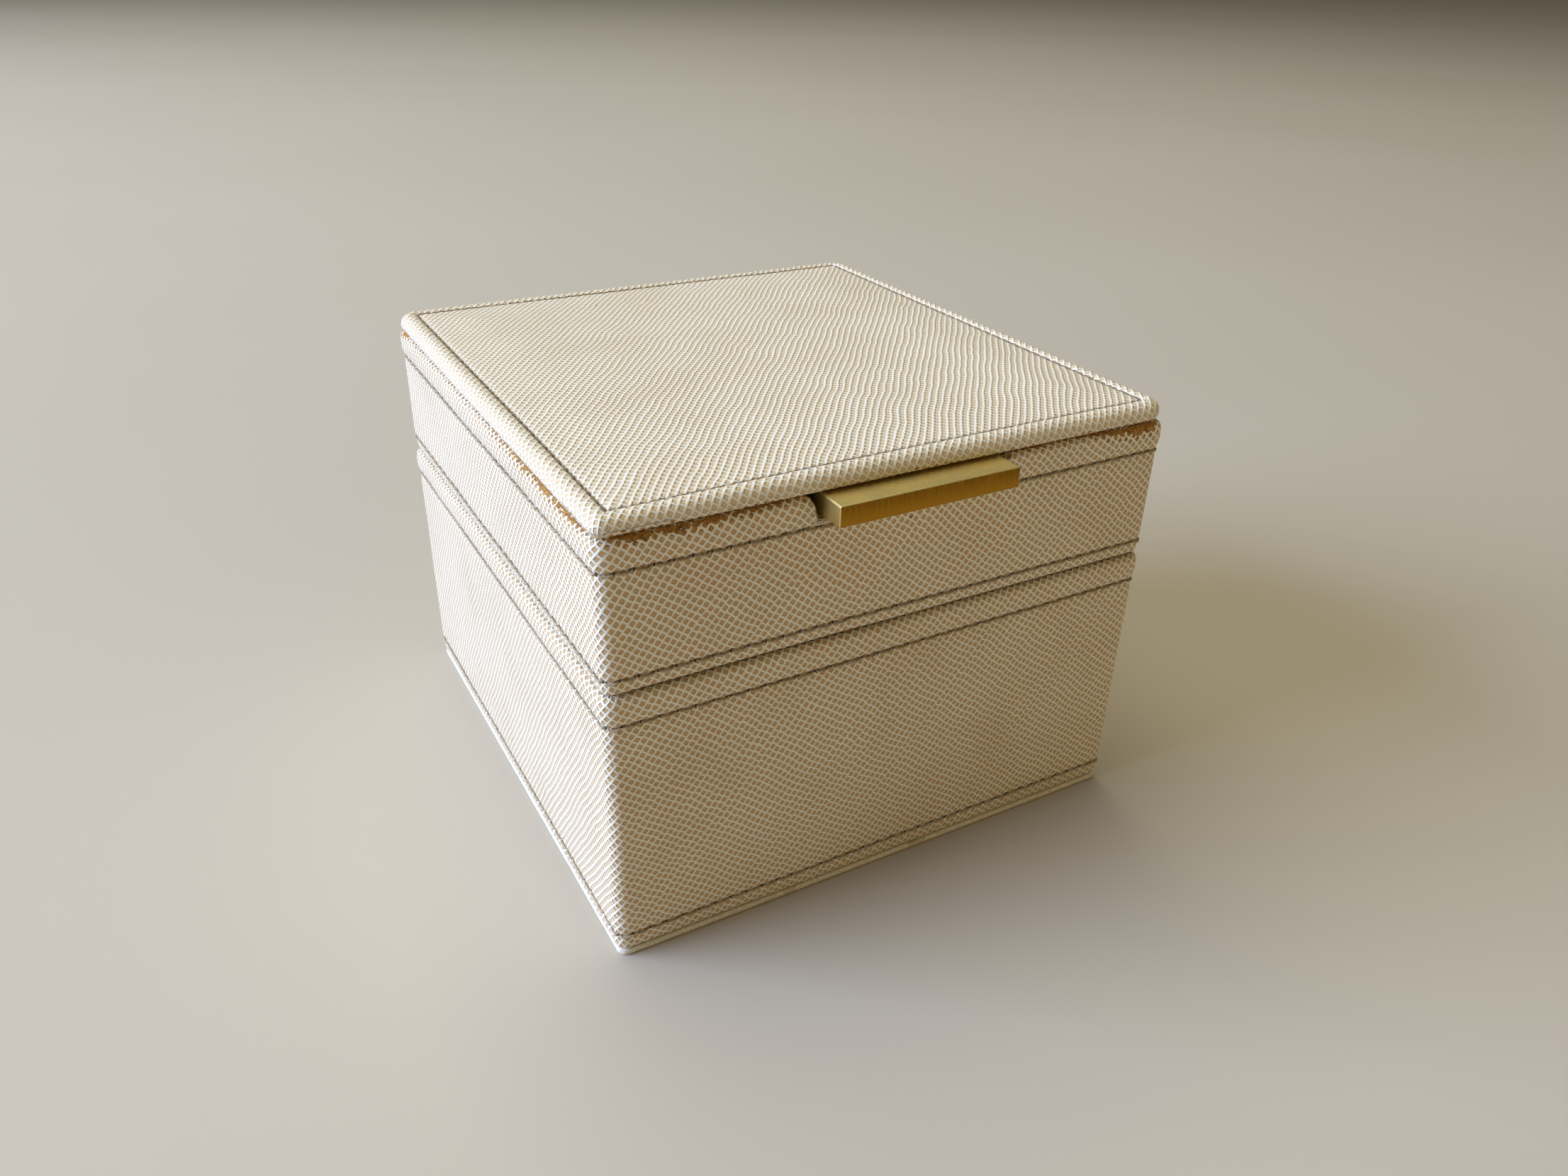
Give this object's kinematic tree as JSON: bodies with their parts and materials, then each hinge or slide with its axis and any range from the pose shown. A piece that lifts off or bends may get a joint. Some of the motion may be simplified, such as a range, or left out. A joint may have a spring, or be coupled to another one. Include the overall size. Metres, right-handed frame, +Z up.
{
  "type": "travel jewelry case",
  "caption": "Square two-tier jewelry case in grained leatherette: a lower box, a lift-off tray with ring rolls and a hinged lid with a metal pull tab.",
  "frame": {"origin": "on the resting surface, under the middle of the whole case's bounding box, the pull tab and the hinge strip included", "axes": "+Z up; the front, with the pull tab, faces -Y and the lid's hinge is at the back on the +Y side; +X is the right side seen from the front"},
  "size_m": [0.105, 0.114, 0.081],
  "materials": {
    "leatherette": "cream leatherette with a crosshatch grain, satin",
    "thread": "taupe sewing thread",
    "greyboard": "bare greyboard",
    "foam": "open-cell foam",
    "velvet": "short-pile velvet in beige",
    "bottom_panel": "paper-faced card, matt",
    "gold": "gold-plated metal, polished, tarnished on top",
    "steel": "small zinc-plated screws"
  },
  "bodies": {
    "base": {"bottom_panel": "bottom_panel", "base_back_board": "greyboard", "base_left_board": "greyboard", "base_right_board": "greyboard", "base_front_board": "greyboard", "base_rim_foam_back": "foam", "base_rim_foam_left": "foam", "base_rim_foam_right": "foam", "base_rim_foam_front": "foam", "base_cover": "leatherette", "base_rim_stitching": "thread", "base_hem_stitching": "thread", "base_floor_board": "greyboard", "base_wall_lining": "velvet", "base_floor_pad": "velvet", "base_long_divider": "velvet", "base_short_divider": "velvet"},
    "upper_tray": {"tray_back_board": "greyboard", "tray_left_board": "greyboard", "tray_right_board": "greyboard", "tray_front_board": "greyboard", "tray_rim_foam_back": "foam", "tray_rim_foam_left": "foam", "tray_rim_foam_right": "foam", "tray_rim_foam_front_left": "foam", "tray_rim_foam_front_right": "foam", "tray_cover": "leatherette", "tray_rim_stitching": "thread", "tray_hem_stitching": "thread", "tray_floor_board": "greyboard", "tray_wall_lining": "velvet", "tray_floor_pad": "velvet", "tray_plinth": "velvet", "tray_long_divider": "velvet", "tray_front_divider": "velvet", "tray_back_divider": "velvet", "ring_roll_1": "velvet", "ring_roll_2": "velvet", "ring_roll_3": "velvet", "ring_roll_4": "velvet", "ring_roll_5": "velvet", "ring_roll_6": "velvet", "ring_roll_7": "velvet", "hinge_strip": "leatherette"},
    "lid": {"lid_cover": "leatherette", "lid_stitching": "thread", "lid_board": "greyboard", "lid_foam": "foam", "lid_lining_card": "greyboard", "lid_lining_pad": "velvet", "pull_tab": "gold", "tab_screw_left": "steel", "tab_screw_right": "steel"}
  },
  "joints": [
    {"name": "tray_lift", "type": "slide", "parent": "base", "child": "upper_tray", "axis": [0, 0, 1], "range_m": [0, 0.07]},
    {"name": "lid_hinge", "type": "hinge", "parent": "upper_tray", "child": "lid", "pos_m": [0, 0.0564, 0.07735], "axis": [-1, 0, 0], "range_deg": [0, 110]}
  ]
}
